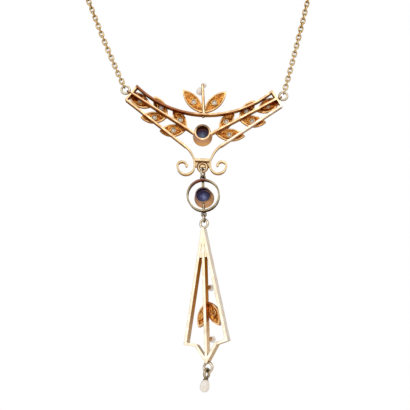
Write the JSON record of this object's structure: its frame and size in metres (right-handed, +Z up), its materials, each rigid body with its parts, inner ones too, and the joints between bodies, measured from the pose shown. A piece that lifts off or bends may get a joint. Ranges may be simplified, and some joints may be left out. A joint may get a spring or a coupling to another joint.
{
  "type": "gold lavalier necklace with sapphires and pearls",
  "caption": "Openwork gold necklace centrepiece with leaves, round sapphires and seed pearls, and a ring drop and a long pointed drop hanging from it on a link chain.",
  "frame": {"origin": "nape of the neck, the middle of the clasp, where the chain rests on the back of the neck", "axes": "+Z up with the wearer upright, +Y forward from the nape to the throat, +X to the wearer's right when the back of the necklace is looked at along +Y"},
  "size_m": [0.1132, 0.1115, 0.1921],
  "materials": {
    "gold": "polished gold",
    "sapphire": "cut and polished blue stone",
    "pearl": "pearl lustre"
  },
  "bodies": {
    "necklace": {"centrepiece": "gold", "centre_sapphire": "sapphire", "seed_pearl_1": "pearl", "seed_pearl_2": "pearl", "seed_pearl_3": "pearl", "seed_pearl_4": "pearl", "seed_pearl_5": "pearl", "seed_pearl_6": "pearl", "seed_pearl_7": "pearl", "seed_pearl_8": "pearl", "seed_pearl_9": "pearl", "seed_pearl_10": "pearl", "seed_pearl_11": "pearl", "seed_pearl_12": "pearl", "stem_pearl_low": "pearl", "stem_pearl_high": "pearl", "jump_ring_left": "gold", "jump_ring_right": "gold", "chain_left": "gold", "chain_right": "gold", "clasp": "gold"},
    "upper_link_body": {"upper_link": "gold"},
    "ring_drop_body": {"ring_drop": "gold", "ring_sapphire": "sapphire"},
    "lower_link_body": {"lower_link": "gold"},
    "long_drop_body": {"long_drop": "gold", "drop_pearl_left": "pearl", "drop_pearl_right": "pearl", "bar_pearl_high": "pearl", "bar_pearl_low": "pearl", "pearl_cap": "gold", "hanging_pearl": "pearl"}
  },
  "joints": [
    {"name": "drops_sideways", "type": "hinge", "parent": "necklace", "child": "upper_link_body", "pos_m": [-0.00021, 0.106, -0.13911], "axis": [0, 1, 0], "range_deg": [-12, 12]},
    {"name": "ring_drop_fore_aft", "type": "hinge", "parent": "upper_link_body", "child": "ring_drop_body", "pos_m": [-0.00021, 0.106, -0.1405], "axis": [0.9397, -0.342, 0], "range_deg": [-30, 30]},
    {"name": "long_drop_sideways", "type": "hinge", "parent": "ring_drop_body", "child": "lower_link_body", "pos_m": [-0.00021, 0.106, -0.15016], "axis": [0, 1, 0], "range_deg": [-30, 30]},
    {"name": "long_drop_fore_aft", "type": "hinge", "parent": "lower_link_body", "child": "long_drop_body", "pos_m": [-0.00021, 0.106, -0.15106], "axis": [0.9903, -0.1392, 0], "range_deg": [-45, 45]}
  ]
}
